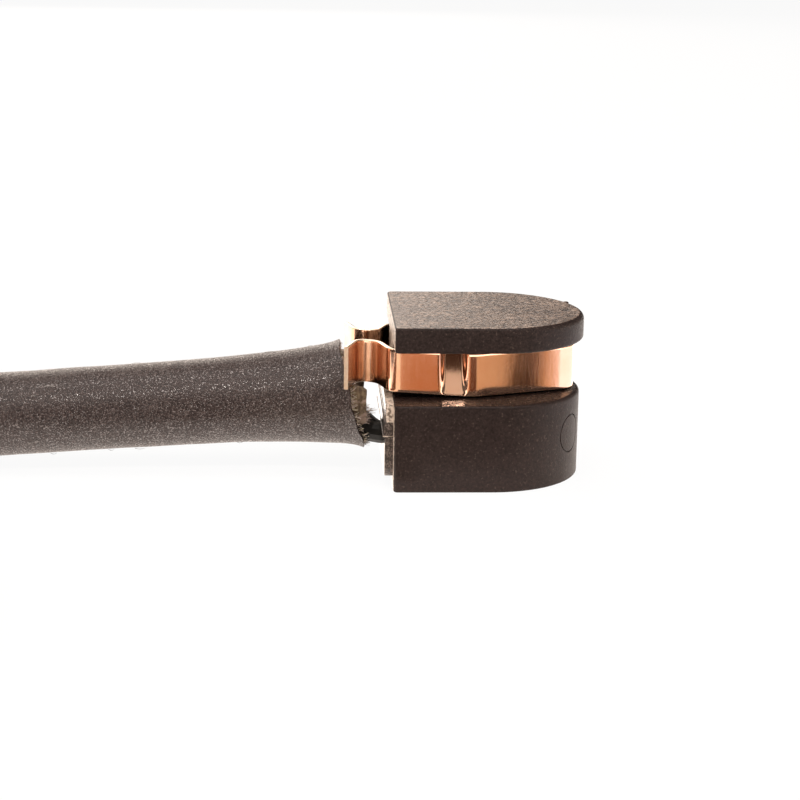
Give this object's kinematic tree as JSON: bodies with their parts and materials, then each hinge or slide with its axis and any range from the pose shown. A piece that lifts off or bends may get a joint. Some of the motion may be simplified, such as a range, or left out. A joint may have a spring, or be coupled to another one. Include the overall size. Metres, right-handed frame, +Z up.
{
  "type": "brake pad wear sensor",
  "caption": "Electrical brake pad wear sensor: a grooved moulded head with a spring clip that snaps onto the pad's backing plate, on a sleeved lead with a plug.",
  "frame": {"origin": "under the middle of the head and its clip, on the surface the head rests on", "axes": "+X from the lead towards the head's rounded nose, +Z up through the groove's two flanges"},
  "size_m": [0.0962, 0.0668, 0.0098],
  "materials": {
    "head_moulding": "fine-grained dark brown moulding",
    "clip_copper_alloy": "polished copper-coloured strip",
    "tinned_copper": "tinned",
    "crimp_brass": "plain",
    "wire_insulation": "smooth",
    "sleeve_coating": "coated glass fibre, finely speckled",
    "glass_fibre": "raw braid, frayed at the cut",
    "connector_rubber": "matt",
    "connector_plastic": "fine texture",
    "lock_plastic": "fine texture"
  },
  "bodies": {
    "root": {"sensor_head": "head_moulding", "spring_clip": "clip_copper_alloy", "contact_loop": "tinned_copper", "crimp_1": "crimp_brass", "crimp_2": "crimp_brass", "lead_wire_1": "wire_insulation", "lead_wire_2": "wire_insulation", "sleeve_end": "sleeve_coating", "inner_sleeve": "glass_fibre", "sleeve_lead": "sleeve_coating", "sleeve_coil": "sleeve_coating", "sleeve_tail": "sleeve_coating", "rear_boot": "connector_rubber", "connector_housing": "connector_plastic", "face_seal": "connector_rubber", "wire_seal_1": "connector_rubber", "wire_seal_2": "connector_rubber", "terminal_1": "tinned_copper", "terminal_2": "tinned_copper", "secondary_lock": "lock_plastic"}
  },
  "joints": []
}
